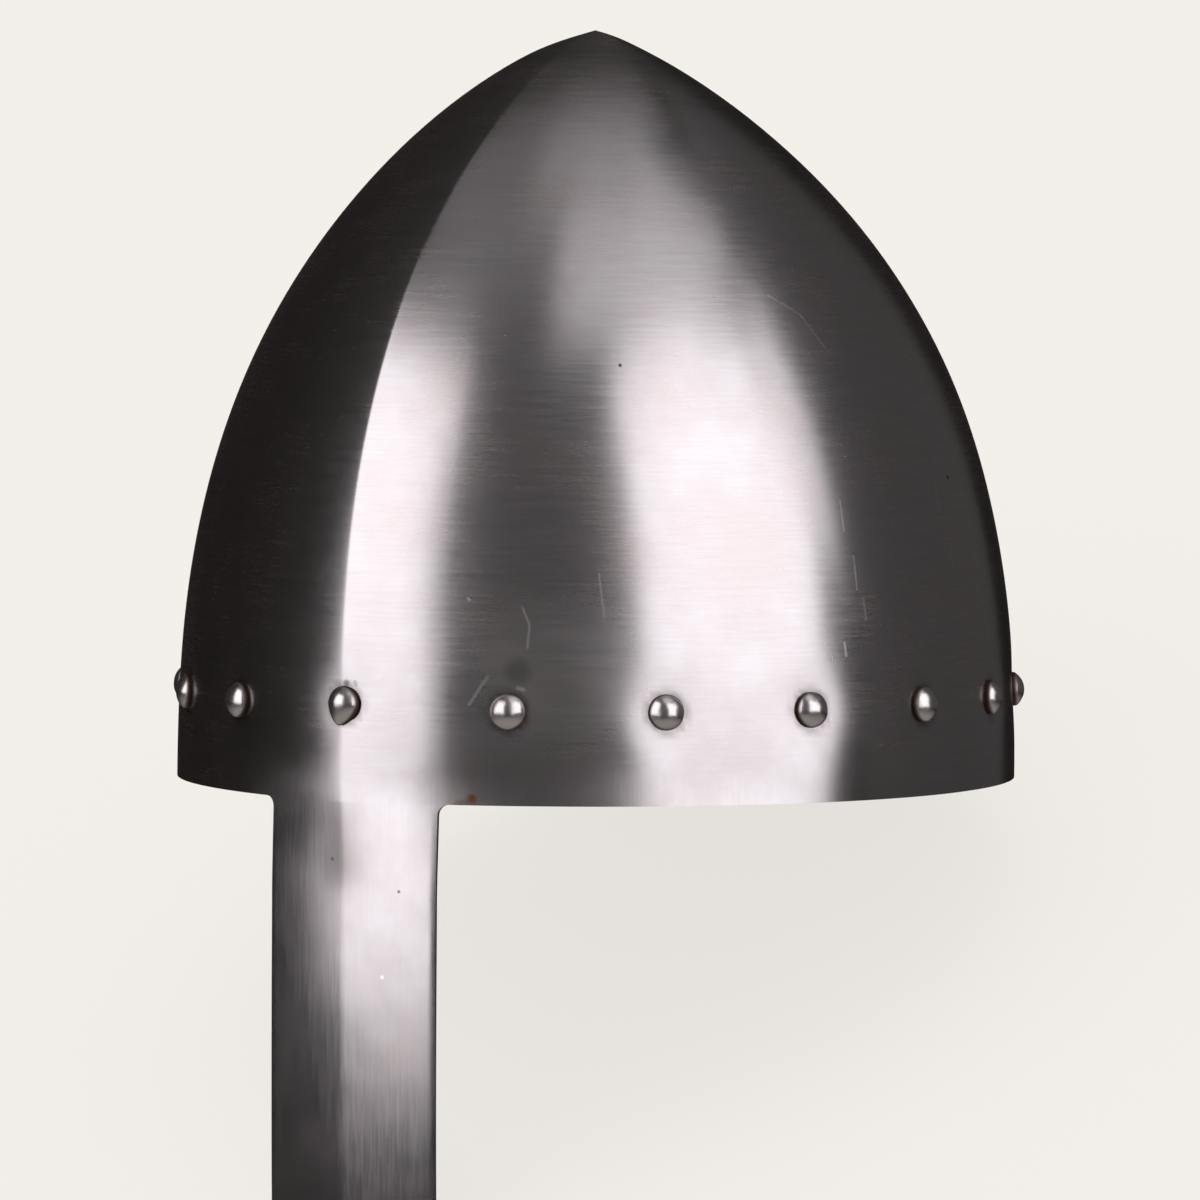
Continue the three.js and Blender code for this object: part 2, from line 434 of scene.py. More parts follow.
@dataclass(frozen=True)
class RivetRow:
    """The row of rivets above the rim, in millimetres."""

    form: SkullForm
    height: float = 22.0
    ridge_height: float = 23.0
    first_gap: float = 40.2
    side_gap: float = 37.4
    side_count: int = 6
    back_count: int = 5

    def distances(self) -> list[float]:
        """Shares out the rivets of one side.

        Returns:
            How far along the wall from the ridge each one stands.
        """
        gaps = [self.first_gap + i * self.side_gap for i in range(self.side_count)]
        last = gaps[-1]
        left = self.form.arcs(self.height)[-1] - last
        back_gap = 2 * left / (self.back_count + 1)
        return gaps + [last + i * back_gap for i in range(1, (self.back_count - 1) // 2 + 1)]

    def seats(self) -> list[Seat]:
        """Finds every rivet's seat.

        Returns:
            The seats, the ridge first and the back last.
        """
        arcs = self.form.arcs(self.height)
        seats = [Seat(RIDGE_RIVET, Place(1, 0.0), self.ridge_height)]
        for i, distance in enumerate(self.distances(), 1):
            turn = self.form.turn_at_arc(arcs, distance)
            for side, word in ((1, "right"), (-1, "left")):
                seats.append(Seat(f"rivet_{word}_{i}", Place(side, turn), self.height))
        return [*seats, Seat("rivet_back", Place(1, 2.0), self.height)]


# Finishes


@dataclass(frozen=True)
class Scratch:
    """A light scratch: its ends by distance along the wall from the ridge and by height, in mm."""

    start: tuple[float, float]
    end: tuple[float, float]
    width: float = 0.35
    depth: float = 0.6


@dataclass(frozen=True)
class Stain:
    """A round stain on the wall, by distance from the ridge and height in mm."""

    spot: tuple[float, float]
    radius: float
    colour: str
    depth: float = 1.0


@dataclass(frozen=True)
class Brushwork:
    """What the sheet's colour, gloss and relief are worked out from.

    upright is the place on the upright helmet in millimetres. The others go from 0 to 1: down
    where the brushing runs down, lines for the brush lines and cloudy for the broad patches.
    """

    tree: bpy.types.NodeTree
    upright: bpy.types.NodeSocket
    down: bpy.types.NodeSocket
    lines: bpy.types.NodeSocket
    cloudy: bpy.types.NodeSocket


@dataclass(frozen=True)
class BrushedMildSteel:
    """Mild steel plate, raised by hand and then brushed to a satin.

    The brushing runs level round the skull, and down the nasal and the front of the rim, so
    lights smear across it. The eye sees warm dark greys, soft-edged bright bands, very fine
    lines, cloudy cool and warm patches, stray light scratches, a few pits and a speck of rust.
    """

    name: str = "brushed_mild_steel"
    cool: str = "#c6c5c7"
    warm: str = "#c4bfc0"
    streak: str = "#858183"
    streak_depth: float = 0.1
    # Painted shade: a dark ring on the sheet round each rivet's foot, where the dome meets the
    # wall
    painted_rivet_shade: str = "#35261e"
    roughness: float = 0.24
    line_roughness: float = 0.015  # more on a line, and less between two
    cloudiness: float = 0.03
    down_smoother: float = 0.06  # what the brushing down takes off the roughness
    wear: float = 0.07
    worn: tuple[float, float] = (52.0, 31.0)
    worn_radius: float = 26.0
    scratched_roughness: float = 0.6
    anisotropy: float = 0.6
    line_spacing: float = 0.55  # real lines are finer, too fine to show
    line_length: float = 14.0
    line_range: tuple[float, float] = (0.3, 0.7)
    line_depth: float = 0.03
    line_strength: float = 0.12
    streak_range: tuple[float, float] = (0.35, 0.62)
    cloud: float = 22.0  # from patch to patch
    cloud_range: tuple[float, float] = (0.38, 0.62)
    planishing: float = 34.0  # from wave to wave
    planishing_depth: float = 0.3
    planishing_strength: float = 0.3
    spot_core: float = 0.3  # share of the radius that is full
    scratch_core: float = 0.25
    brushed_down: tuple[float, float] = (18.0, -6.0)  # heights where that fades in
    front_turn: float = 27.0  # degrees from the face to the middle of that part
    front: tuple[float, float] = (60.0, 95.0)  # how far forward there it fades in
    scratches: tuple[Scratch, ...] = ()
    stains: tuple[Stain, ...] = ()

    def on_wall(self, form: SkullForm, spot: tuple[float, float]) -> Vector:
        """Returns the upright point at a distance along the wall from the ridge and a height.

        Args:
            form: The skull.
            spot: The distance, below 0 on the -X side, and the height, below 0 on the nasal.

        Returns:
            The point in millimetres.
        """
        distance, height = spot
        side = -1 if distance < 0 else 1
        if height < 0:
            rim = form.point(form.place_at_width(side, abs(distance)), 0)
            return Vector((rim.x, rim.y, height))
        turn = form.turn_at_arc(form.arcs(height), abs(distance))
        return form.point(Place(side, turn), height)

    def scratch_mask(
        self, tree: bpy.types.NodeTree, upright: bpy.types.NodeSocket, form: SkullForm
    ) -> bpy.types.NodeSocket:
        """Adds the nodes that are 1 in a scratch and 0 beside it.

        Args:
            tree: The material's node tree.
            upright: The upright place in millimetres.
            form: The skull that carries the scratches.

        Returns:
            The mask.
        """
        mask = None
        for scratch in self.scratches:
            start, end = (self.on_wall(form, spot) for spot in (scratch.start, scratch.end))
            run = end - start
            off = add_node(
                tree, "ShaderNodeVectorMath", {"operation": "SUBTRACT", 1: start}, {0: upright}
            ).outputs["Vector"]
            share = add_node(
                tree,
                "ShaderNodeVectorMath",
                {"operation": "DOT_PRODUCT", 1: run / run.length_squared},
                {0: off},
            ).outputs["Value"]
            held = add_node(tree, "ShaderNodeClamp", {}, {"Value": share}).outputs["Result"]
            nearest = add_node(
                tree, "ShaderNodeVectorMath", {"operation": "SCALE", 0: run}, {"Scale": held}
            ).outputs["Vector"]
            away = add_node(
                tree, "ShaderNodeVectorMath", {"operation": "DISTANCE"}, {0: off, 1: nearest}
            ).outputs["Value"]
            line = add_node(
                tree,
                "ShaderNodeMapRange",
                {
                    "interpolation_type": "SMOOTHSTEP",
                    "From Min": scratch.width * self.scratch_core,
                    "From Max": scratch.width,
                    "To Min": scratch.depth,
                    "To Max": 0.0,
                },
                {"Value": away},
            ).outputs["Result"]
            if mask is not None:
                line = add_node(
                    tree, "ShaderNodeMath", {"operation": "MAXIMUM"}, {0: mask, 1: line}
                ).outputs["Value"]
            mask = line
        return mask

    def spot_mask(
        self,
        tree: bpy.types.NodeTree,
        upright: bpy.types.NodeSocket,
        centre: Vector,
        radius: float,
        depth: float,
    ) -> bpy.types.NodeSocket:
        """Adds the nodes that reach a depth within a spot and fade to 0 at its radius.

        Args:
            tree: The material's node tree.
            upright: The upright place in millimetres.
            centre: The spot's middle.
            radius: Its radius in millimetres.
            depth: What the mask reaches.

        Returns:
            The mask.
        """
        away = add_node(
            tree, "ShaderNodeVectorMath", {"operation": "DISTANCE", 1: centre}, {0: upright}
        ).outputs["Value"]
        return add_node(
            tree,
            "ShaderNodeMapRange",
            {
                "interpolation_type": "SMOOTHSTEP",
                "From Min": radius * self.spot_core,
                "From Max": radius,
                "To Min": depth,
                "To Max": 0.0,
            },
            {"Value": away},
        ).outputs["Result"]

    def brushed_down_mask(
        self, tree: bpy.types.NodeTree, upright: bpy.types.NodeSocket
    ) -> bpy.types.NodeSocket:
        """Adds the nodes that are 1 where the brushing runs down and 0 where it runs level.

        Args:
            tree: The material's node tree.
            upright: The upright place in millimetres.

        Returns:
            The mask.
        """
        turn = math.radians(self.front_turn)
        low, front = (
            add_node(
                tree,
                "ShaderNodeMapRange",
                {"interpolation_type": "SMOOTHSTEP", "From Min": span[0], "From Max": span[1]},
                {
                    "Value": add_node(
                        tree,
                        "ShaderNodeVectorMath",
                        {"operation": "DOT_PRODUCT", 1: axis},
                        {0: upright},
                    ).outputs["Value"]
                },
            ).outputs["Result"]
            for span, axis in (
                (self.brushed_down, (0, 0, 1)),
                (self.front, (math.sin(turn), -math.cos(turn), 0)),
            )
        )
        return add_node(
            tree, "ShaderNodeMath", {"operation": "MULTIPLY"}, {0: low, 1: front}
        ).outputs["Value"]

    def lines(
        self,
        tree: bpy.types.NodeTree,
        upright: bpy.types.NodeSocket,
        run: Vector,
    ) -> bpy.types.NodeSocket:
        """Adds brush lines.

        Args:
            tree: The material's node tree.
            upright: The upright place in millimetres.
            run: 1 on the axes that the lines run along, and 0 on those they are fine across.

        Returns:
            The lines' height from 0 to 1.
        """
        scale = [mix(1 / self.line_spacing, 1 / self.line_length, share) for share in run]
        stretched = add_node(
            tree, "ShaderNodeMapping", {"Scale": scale}, {"Vector": upright}
        ).outputs["Vector"]
        return add_node(
            tree,
            "ShaderNodeTexNoise",
            {"Scale": 1.0, "Detail": 2.0, "Roughness": 0.6},
            {"Vector": stretched},
        ).outputs["Fac"]

    def brushwork(self, tree: bpy.types.NodeTree, stance: Matrix) -> Brushwork:
        """Adds the nodes that the rest of the material reads.

        Args:
            tree: The material's node tree.
            stance: The move from the upright helmet to the frame, which turns the pattern.

        Returns:
            The sockets.
        """
        place = add_node(tree, "ShaderNodeTexCoord").outputs["Object"]
        back = stance.inverted()
        moved = {"Location": back.translation / MM, "Rotation": back.to_euler()}
        upright = add_node(
            tree, "ShaderNodeMapping", {**moved, "Scale": (1 / MM,) * 3}, {"Vector": place}
        ).outputs["Vector"]
        down = self.brushed_down_mask(tree, upright)
        level_lines = self.lines(tree, upright, Vector((1, 1, 0)))
        down_lines = self.lines(tree, upright, Vector((0, 0, 1)))
        lines = add_node(
            tree, "ShaderNodeMix", {}, {0: down, 2: level_lines, 3: down_lines}
        ).outputs[0]
        clouds = add_node(
            tree,
            "ShaderNodeTexNoise",
            {"Scale": 1 / self.cloud, "Detail": 6.0, "Roughness": 0.62},
            {"Vector": upright},
        ).outputs["Fac"]
        low, high = self.cloud_range
        cloudy = add_node(
            tree, "ShaderNodeMapRange", {"From Min": low, "From Max": high}, {"Value": clouds}
        ).outputs["Result"]
        return Brushwork(tree, upright, down, lines, cloudy)

    def coloured(self, work: Brushwork, form: SkullForm) -> bpy.types.NodeSocket:
        """Adds the colour: cool and warm patches, streaks, stains, and painted shade round the
        rivets' feet.

        Args:
            work: The brushwork.
            form: The skull that carries the stains.

        Returns:
            The colour.
        """
        tree = work.tree
        low, high = self.streak_range
        streaked = add_node(
            tree,
            "ShaderNodeMapRange",
            {"From Min": low, "From Max": high, "To Min": self.streak_depth, "To Max": 0.0},
            {"Value": work.lines},
        ).outputs["Result"]
        layers = [(self.streak, streaked)]
        for stain in self.stains:
            centre = self.on_wall(form, stain.spot)
            mask = self.spot_mask(tree, work.upright, centre, stain.radius, stain.depth)
            layers.append((stain.colour, mask))
        # Painted shade round the rivets' feet, read from the sheet's own attribute
        painted_rivet_shade = add_node(tree, "ShaderNodeAttribute", {"attribute_name": "painted_rivet_shade"}).outputs["Fac"]
        layers.append((self.painted_rivet_shade, painted_rivet_shade))
        colour = add_node(
            tree,
            "ShaderNodeMix",
            {"data_type": "RGBA", 6: linear(self.cool), 7: linear(self.warm)},
            {0: work.cloudy},
        ).outputs[2]
        for tint, share in layers:
            colour = add_node(
                tree,
                "ShaderNodeMix",
                {"data_type": "RGBA", 7: linear(tint)},
                {0: share, 6: colour},
            ).outputs[2]
        return colour

    def roughened(self, work: Brushwork, form: SkullForm) -> bpy.types.NodeSocket:
        """Adds the roughness: brush lines, cloudy and worn patches, and dull scratches.

        Args:
            work: The brushwork.
            form: The skull that carries the scratches.

        Returns:
            The roughness.
        """
        tree = work.tree
        rough = add_node(
            tree,
            "ShaderNodeMapRange",
            {
                "From Min": self.line_range[0],
                "From Max": self.line_range[1],
                "To Min": self.roughness - self.line_roughness,
                "To Max": self.roughness + self.line_roughness,
            },
            {"Value": work.lines},
        ).outputs["Result"]
        centre = self.on_wall(form, self.worn)
        worn = self.spot_mask(tree, work.upright, centre, self.worn_radius, self.wear)
        shares = ((work.cloudy, self.cloudiness), (worn, 1.0), (work.down, -self.down_smoother))
        for mask, share in shares:
            rough = add_node(
                tree,
                "ShaderNodeMath",
                {"operation": "MULTIPLY_ADD", 1: share},
                {0: mask, 2: rough},
            ).outputs["Value"]
        scratched = self.scratch_mask(tree, work.upright, form)
        return add_node(
            tree, "ShaderNodeMix", {3: self.scratched_roughness}, {0: scratched, 2: rough}
        ).outputs[0]

    def relief(self, work: Brushwork) -> bpy.types.NodeSocket:
        """Adds the relief: the waves that planishing leaves, and the brush lines on them.

        Args:
            work: The brushwork.

        Returns:
            The normal.
        """
        waves = add_node(
            work.tree,
            "ShaderNodeTexNoise",
            {"Scale": 1 / self.planishing, "Detail": 2.0, "Roughness": 0.5},
            {"Vector": work.upright},
        ).outputs["Fac"]
        deep = add_node(
            work.tree,
            "ShaderNodeBump",
            {"Strength": self.planishing_strength, "Distance": self.planishing_depth * MM},
            {"Height": waves},
        ).outputs["Normal"]
        return add_node(
            work.tree,
            "ShaderNodeBump",
            {"Strength": self.line_strength, "Distance": self.line_depth * MM},
            {"Height": work.lines, "Normal": deep},
        ).outputs["Normal"]

    def material(self, stance: Matrix, form: SkullForm) -> bpy.types.Material:
        """Builds the material.

        Args:
            stance: The move from the upright helmet to the frame, which turns the pattern.
            form: The skull that carries the scratches and stains.

        Returns:
            The finished material.
        """
        made, tree = bare_material(self.name)
        work = self.brushwork(tree, stance)
        turn = stance.to_3x3()
        smeared = add_node(
            tree,
            "ShaderNodeMix",
            {"data_type": "VECTOR", 4: turn @ Vector((0, 0, 1)), 5: turn @ Vector((1, 0, 0))},
            {0: work.down},
        ).outputs[1]
        shader = add_node(
            tree,
            "ShaderNodeBsdfPrincipled",
            {"Metallic": 1.0, "Anisotropic": self.anisotropy},
            {
                "Base Color": self.coloured(work, form),
                "Roughness": self.roughened(work, form),
                "Normal": self.relief(work),
                "Tangent": smeared,
            },
        )
        add_node(tree, "ShaderNodeOutputMaterial", {}, {"Surface": shader.outputs["BSDF"]})
        return made


@dataclass(frozen=True)
class HammeredRivetSteel:
    """Soft iron rivets, closed with a hammer and rubbed bright on the crown.

    The eye sees small domes with uneven facets, and a dark brown line round the foot, which is
    painted shade where the dome meets the wall.
    """

    name: str = "hammered_rivet_steel"
    colour: str = "#c9c6c5"
    # Painted shade: the dark brown line at the dome's foot
    foot: str = "#463229"
    roughness: float = 0.26
    foot_roughness: float = 0.6
    dent_size: float = 1.6
    dent_depth: float = 0.15
    dent_strength: float = 0.25

    def material(self) -> bpy.types.Material:
        """Builds the material, which reads the rivets' own foot attribute.

        Returns:
            The finished material.
        """
        made, tree = bare_material(self.name)
        foot = add_node(tree, "ShaderNodeAttribute", {"attribute_name": "foot"}).outputs["Fac"]
        place = add_node(tree, "ShaderNodeTexCoord").outputs["Object"]
        dents = add_node(
            tree,
            "ShaderNodeTexNoise",
            {"Scale": 1 / (self.dent_size * MM), "Detail": 2.0},
            {"Vector": place},
        ).outputs["Fac"]
        # The foot attribute paints shade, dark brown, at the dome's foot
        colour = add_node(
            tree,
            "ShaderNodeMix",
            {"data_type": "RGBA", 6: linear(self.colour), 7: linear(self.foot)},
            {0: foot},
        ).outputs[2]
        rough = add_node(
            tree,
            "ShaderNodeMapRange",
            {"To Min": self.roughness, "To Max": self.foot_roughness},
            {"Value": foot},
        ).outputs["Result"]
        normal = add_node(
            tree,
            "ShaderNodeBump",
            {"Strength": self.dent_strength, "Distance": self.dent_depth * MM},
            {"Height": dents},
        ).outputs["Normal"]
        shader = add_node(
            tree,
            "ShaderNodeBsdfPrincipled",
            {"Metallic": 1.0},
            {"Base Color": colour, "Roughness": rough, "Normal": normal},
        )
        add_node(tree, "ShaderNodeOutputMaterial", {}, {"Surface": shader.outputs["BSDF"]})
        return made


# Sub-assemblies


@dataclass
class SteelSheet:
    """Skull and nasal as one sheet, in millimetres: raised, drawn down at the front, walled."""

    form: SkullForm
    row: RivetRow
    finish: BrushedMildSteel
    nasal_half_width: float = 23.2
    nasal_length: float = 109.5  # its bend takes up the rest
    notch_radius: float = 2.5
    end_radius: float = 3.0
    nasal_step: float = 3.2
    nasal_ease: float = 20.0  # the height over which the nasal leaves the skull's form
    nasal_flatness: float = 0.05
    nasal_pivot: float = 9.0  # the distance from the ridge that the flattening leaves alone
    nasal_bend: float = 1.0
    nasal_bend_power: int = 4
    rolled_share: float = 0.94  # of the half width, and from there the edge rolls back
    rolled_edge: float = 0.14
    point_aside: float = 1.6
    point_aside_depth: float = 3.2
    arc_steps: int = 6
    # Mesh steps, and how far from its rivet, notch, ridge or point a close step reaches
    wide_step: float = 3.3
    tall_step: float = 2.7
    rivet_step: float = 0.95
    ridge_step: float = 0.35
    point_step: float = 0.45
    rivet_reach: float = 8.0
    notch_reach: float = 3.0
    ridge_reach: float = 1.6
    point_reach: float = 9.0
    edge_bevel: float = 0.35
    edge_segments: int = 2
    edge_angle: float = 60.0
    unevenness: float = 0.12
    unevenness_spacing: float = 42.0
    dimple_depth: float = 0.4
    dimple_width: float = 8.5
    # Where, how wide and how dark the ring of painted shade round each rivet's foot is
    rivet_shade_ring_radius: float = 4.4
    rivet_shade_ring_width: float = 0.9
    rivet_shade_ring_depth: float = 0.5

    def turns(self) -> list[float]:
        """Spaces the columns, closer at the ridge, the notch and the rivets.

        Returns:
            Their turns from the ridge to the back.
        """
        arcs = self.form.arcs(self.row.height)
        distances = [0.0, *self.row.distances(), arcs[-1]]
        edge = self.nasal_half_width + self.notch_radius

        def step(distance: float) -> float:
            """Spaces the next column.

            Args:
                distance: How far along the wall from the ridge the last one stands.

            Returns:
                The step to it.
            """
            near_rivet = max(bump(distance - d, self.rivet_reach) for d in distances)
            near_edge = bump(distance - edge, self.notch_reach)
            size = mix(self.wide_step, self.rivet_step, max(near_rivet, near_edge))
            return mix(size, self.ridge_step, bump(distance, self.ridge_reach))

        turns = [self.form.turn_at_arc(arcs, d) for d in paced(arcs[-1], step)]
        turns[0], turns[-1] = 0.0, 2.0
        wanted = self.form.place_at_width(1, edge).turn
        nearest = min(range(len(turns)), key=lambda i: abs(turns[i] - wanted))
        turns[nearest] = wanted
        return turns

    def heights(self) -> list[float]:
        """Spaces the rows, closer at the rivets and the point.

        Returns:
            Their heights from the rim to the point.
        """

        def step(height: float) -> float:
            """Spaces the next row.

            Args:
                height: The height of the last one.

            Returns:
                The step to it.
            """
            near_row = bump(height - self.row.height, self.rivet_reach)
            near_point = bump(self.form.height - height, self.point_reach)
            return mix(mix(self.tall_step, self.rivet_step, near_row), self.point_step, near_point)

        return paced(self.form.height, step)

    def half_width(self, height: float) -> float:
        """Shapes the nasal's side, flared at the notch and rounded at the end.

        Args:
            height: The height, below 0.

        Returns:
            Half the nasal's width there.
        """
        below_notch = self.notch_radius + height
        if below_notch > 0:
            flare = math.sqrt(self.notch_radius**2 - min(below_notch, self.notch_radius) ** 2)
            return self.nasal_half_width + self.notch_radius - flare
        into_corner = -self.nasal_length + self.end_radius - height
        if into_corner > 0:
            corner = math.sqrt(max(self.end_radius**2 - into_corner**2, 0.0))
            return self.nasal_half_width - self.end_radius + corner
        return self.nasal_half_width

    def nasal_heights(self) -> list[float]:
        """Spaces the rows of the nasal, close together in its notch and end corners.

        Returns:
            Their heights from the rim downwards.
        """
        arc = [1 - math.cos(i / self.arc_steps * math.pi / 2) for i in range(self.arc_steps + 1)]
        notch = [-share * self.notch_radius for share in arc]
        end = [-self.nasal_length + share * self.end_radius for share in reversed(arc)]
        count = round((notch[-1] - end[0]) / self.nasal_step)
        between = [mix(notch[-1], end[0], i / count) for i in range(1, count)]
        return [*notch, *between, *end]

    def raise_skull(self) -> bpy.types.Object:
        """Turns half a ball into the skull: its meridians are the columns, its rings the rows.

        Returns:
            The skull, as an open sheet on the outer surface.
        """
        turns, heights = self.turns(), self.heights()
        columns, rows = 2 * (len(turns) - 1), len(heights) - 1
        deselect()
        bpy.ops.mesh.primitive_uv_sphere_add(segments=columns, ring_count=2 * rows, radius=1)
        piece = bpy.context.object
        bpy.ops.object.mode_set(mode="EDIT")
        bpy.ops.mesh.select_all(action="SELECT")
        close = 1e-4  # to the cut, on a ball of radius 1
        bpy.ops.mesh.bisect(
            plane_co=(0, 0, 0), plane_no=(0, 0, 1), clear_inner=True, threshold=close
        )
        bpy.ops.object.mode_set(mode="OBJECT")
        for corner in piece.data.vertices:
            x, y, z = corner.co
            ring = round(math.asin(min(z, 1.0)) / (math.pi / 2) * rows)
            column = round(math.atan2(y, x) / (2 * math.pi) * columns) % columns
            side = 1 if column < len(turns) else -1
            turn = turns[column if side > 0 else columns - column]
            corner.co = self.form.point(Place(side, turn), heights[ring]) * MM
            below = self.form.height - heights[ring]
            corner.co.x += self.point_aside * bump(below, self.point_aside_depth) * MM
        return piece

    def draw_out_nasal(self, piece: bpy.types.Object) -> None:
        """Extrudes the front of the rim downwards in steps and sets each step's width.

        Args:
            piece: The skull.
        """
        edge = (self.nasal_half_width + self.notch_radius) * MM
        pick(piece, lambda co: abs(co.z) < NEAR and co.y < 0 and abs(co.x) < edge + 10 * NEAR)
        heights = self.nasal_heights()
        for above, below in zip(heights, heights[1:], strict=False):
            bpy.ops.mesh.extrude_region_move(
                TRANSFORM_OT_translate={"value": (0, 0, (below - above) * MM)}
            )
        bpy.ops.object.mode_set(mode="OBJECT")
        for corner in piece.data.vertices:
            if corner.co.z < -NEAR:
                height = min(heights, key=lambda h: abs(h - corner.co.z / MM))
                share = abs(corner.co.x) / edge
                side = 1 if corner.co.x >= 0 else -1
                across = share * self.half_width(height)
                there = self.form.point(self.form.place_at_width(side, across), 0)
                eased = min(-height / self.nasal_ease, 1.0)
                there.y += eased * self.nasal_flatness * (self.nasal_pivot - across)
                there.y += self.nasal_bend * (height / self.nasal_length) ** self.nasal_bend_power
                rolled = max(share - self.rolled_share, 0) / (1 - self.rolled_share)
                there.y += eased * self.rolled_edge * rolled**2
                corner.co = Vector((there.x, there.y, height)) * MM

    def work_surface(self, piece: bpy.types.Object) -> None:
        """Leaves the small unevenness of hand raising, a dimple round each rivet, and a ring of
        painted shade round its foot.

        Args:
            piece: The sheet.
        """
        make_active(piece)
        bpy.ops.object.mode_set(mode="EDIT")
        bpy.ops.mesh.select_all(action="SELECT")
        bpy.ops.mesh.remove_doubles(threshold=NEAR)
        bpy.ops.mesh.normals_make_consistent(inside=False)
        bpy.ops.object.mode_set(mode="OBJECT")
        normals = [corner.normal.copy() for corner in piece.data.vertices]
        centres = [self.form.point(s.place, s.height) for s in self.row.seats()]
        # This attribute holds painted shade: a dark ring round each rivet's foot
        painted_rivet_shade = piece.data.attributes.new("painted_rivet_shade", "FLOAT", "POINT")
        for corner, normal in zip(piece.data.vertices, normals, strict=True):
            here = corner.co / MM
            depth = self.unevenness * noise.noise(here / self.unevenness_spacing)
            near = min((here - c).length for c in centres)
            depth -= self.dimple_depth * bump(near, self.dimple_width)
            # Painted shade in a ring just outside each rivet's head, where the dome meets the wall
            shade_ring = self.rivet_shade_ring_depth * bump(near - self.rivet_shade_ring_radius, self.rivet_shade_ring_width)
            painted_rivet_shade.data[corner.index].value = shade_ring
            corner.co += normal * depth * MM

    def give_wall(self, piece: bpy.types.Object) -> None:
        """Thickens the sheet inwards and eases its cut edges.

        Args:
            piece: The sheet.
        """
        finish_with(
            piece, "SOLIDIFY", thickness=self.form.wall * MM, offset=-1.0, use_even_offset=True
        )
        make_active(piece)
        bpy.ops.object.shade_smooth()
        finish_with(
            piece,
            "BEVEL",
            width=self.edge_bevel * MM,
            segments=self.edge_segments,
            limit_method="ANGLE",
            angle_limit=math.radians(self.edge_angle),
            harden_normals=True,
        )

    def build(self, stance: Matrix) -> bpy.types.Object:
        """Builds the sheet, dresses it and puts it in place of its CAD node.

        Args:
            stance: The move from the upright helmet to the frame.

        Returns:
            The finished piece.
        """
        piece = self.raise_skull()
        self.draw_out_nasal(piece)
        self.work_surface(piece)
        self.give_wall(piece)
        piece.data.transform(stance)
        piece.name = piece.data.name = "raised_skull_and_nasal"
        piece.data.materials.clear()
        piece.data.materials.append(self.finish.material(stance, self.form))
        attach(piece, BODY)
        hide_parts(SHEET_NODE)
        LOG.info("%s: %d faces", piece.name, len(piece.data.polygons))
        return piece


